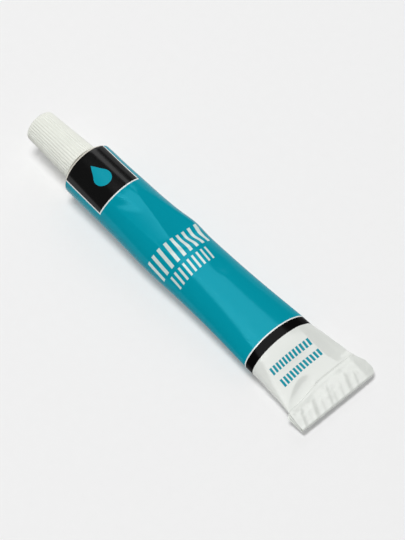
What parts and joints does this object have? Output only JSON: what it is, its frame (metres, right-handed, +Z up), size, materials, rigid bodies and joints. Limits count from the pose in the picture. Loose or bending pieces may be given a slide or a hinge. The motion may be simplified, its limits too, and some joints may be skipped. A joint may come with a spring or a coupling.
{
  "type": "tube of adhesive",
  "caption": "Collapsible metal tube of adhesive lying on its side, with a flat twice-folded tail and a long tapered ribbed cap that unscrews from the neck.",
  "frame": {"origin": "centre of the underside of the bounding box, on the surface that the tube lies on", "axes": "+X from the cap to the folded tail, +Y across the tube, +Z up"},
  "size_m": [0.1406, 0.0298, 0.019],
  "materials": {
    "tube_body": "satin printed lacquer",
    "adhesive_fill": "clear, glossy",
    "seal_membrane": "bare foil",
    "cap_liner": "matt foamed sheet",
    "screw_cap": "satin moulded"
  },
  "bodies": {
    "tube": {"tube_body": "tube_body", "adhesive_fill": "adhesive_fill", "seal_membrane": "seal_membrane"},
    "liner": {"cap_liner": "cap_liner"},
    "cap": {"screw_cap": "screw_cap"}
  },
  "joints": [
    {"name": "cap_travel", "type": "slide", "parent": "tube", "child": "liner", "axis": [-0.999, 0, 0.0436], "range_m": [0, 0.00525]},
    {"name": "cap_unscrew", "type": "hinge", "parent": "liner", "child": "cap", "pos_m": [-0.04607, 0, 0.0095], "axis": [-0.999, 0, 0.0436], "range_deg": [0, 1080]}
  ],
  "couplings": [
    {"joint": "cap_unscrew", "follows": "cap_travel", "rad_per_m": 3590.4}
  ]
}
